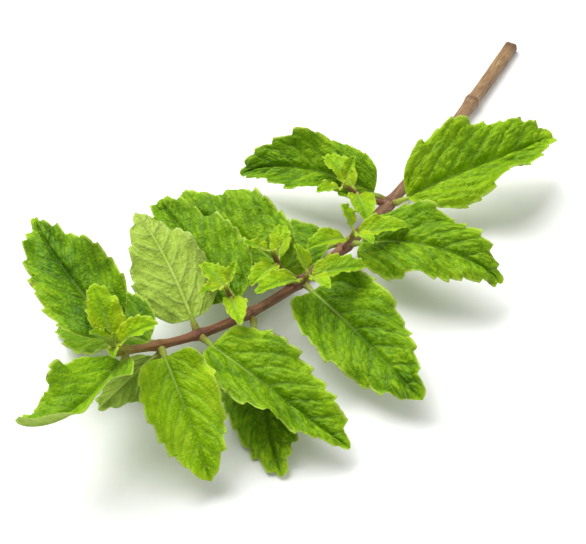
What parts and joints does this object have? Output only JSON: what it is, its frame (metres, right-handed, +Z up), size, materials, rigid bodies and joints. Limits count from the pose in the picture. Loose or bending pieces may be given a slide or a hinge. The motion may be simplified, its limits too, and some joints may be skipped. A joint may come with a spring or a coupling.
{
  "type": "mint sprig",
  "caption": "Cut sprig of fresh mint lying down: a long squared stem with crossed pairs of toothed leaves, short side shoots and a leafy tip.",
  "frame": {"origin": "centre of the sprig's bounding box, on the surface it lies on", "axes": "+X from the cut end towards the growing tip, +Z up from the surface, +Y to the left of the growth"},
  "size_m": [0.2379, 0.1088, 0.0413],
  "materials": {
    "stem": "smooth green-brown herb stem, slightly waxy",
    "leaf": "fresh puckered leaf, softly glossy above and matt below",
    "young_leaf": "young yellow-green leaf, softly glossy"
  },
  "bodies": {
    "root": {"leaf_1_left": "leaf", "leaf_1_right": "leaf", "leaf_2_lower": "leaf", "leaf_2_upper": "leaf", "leaf_3_left": "leaf", "leaf_3_right": "leaf", "leaf_4_lower": "leaf", "leaf_4_upper": "leaf", "leaf_5_left": "leaf", "leaf_5_right": "leaf", "leaf_6_left": "leaf", "leaf_6_right": "leaf", "leaf_6_under": "leaf", "leaf_7_left": "leaf", "leaf_7_right": "leaf", "leaf_8_lower": "young_leaf", "leaf_8_upper": "young_leaf", "leaf_9_lower": "young_leaf", "leaf_9_upper": "young_leaf", "main_stem": "stem", "shoot_1_leaf_back": "young_leaf", "shoot_1_leaf_front": "young_leaf", "shoot_1_leaf_left": "young_leaf", "shoot_1_leaf_right": "young_leaf", "shoot_1_stem": "stem", "shoot_2_leaf_back": "young_leaf", "shoot_2_leaf_front": "young_leaf", "shoot_2_leaf_left": "young_leaf", "shoot_2_leaf_right": "young_leaf", "shoot_2_stem": "stem", "shoot_3_leaf_back": "young_leaf", "shoot_3_leaf_front": "young_leaf", "shoot_3_leaf_left": "young_leaf", "shoot_3_leaf_right": "young_leaf", "shoot_3_stem": "stem", "shoot_4_leaf_back": "young_leaf", "shoot_4_leaf_front": "young_leaf", "shoot_4_leaf_left": "young_leaf", "shoot_4_leaf_right": "young_leaf", "shoot_4_stem": "stem", "shoot_5_leaf_back": "young_leaf", "shoot_5_leaf_front": "young_leaf", "shoot_5_leaf_left": "young_leaf", "shoot_5_leaf_right": "young_leaf", "shoot_5_stem": "stem"}
  },
  "joints": []
}
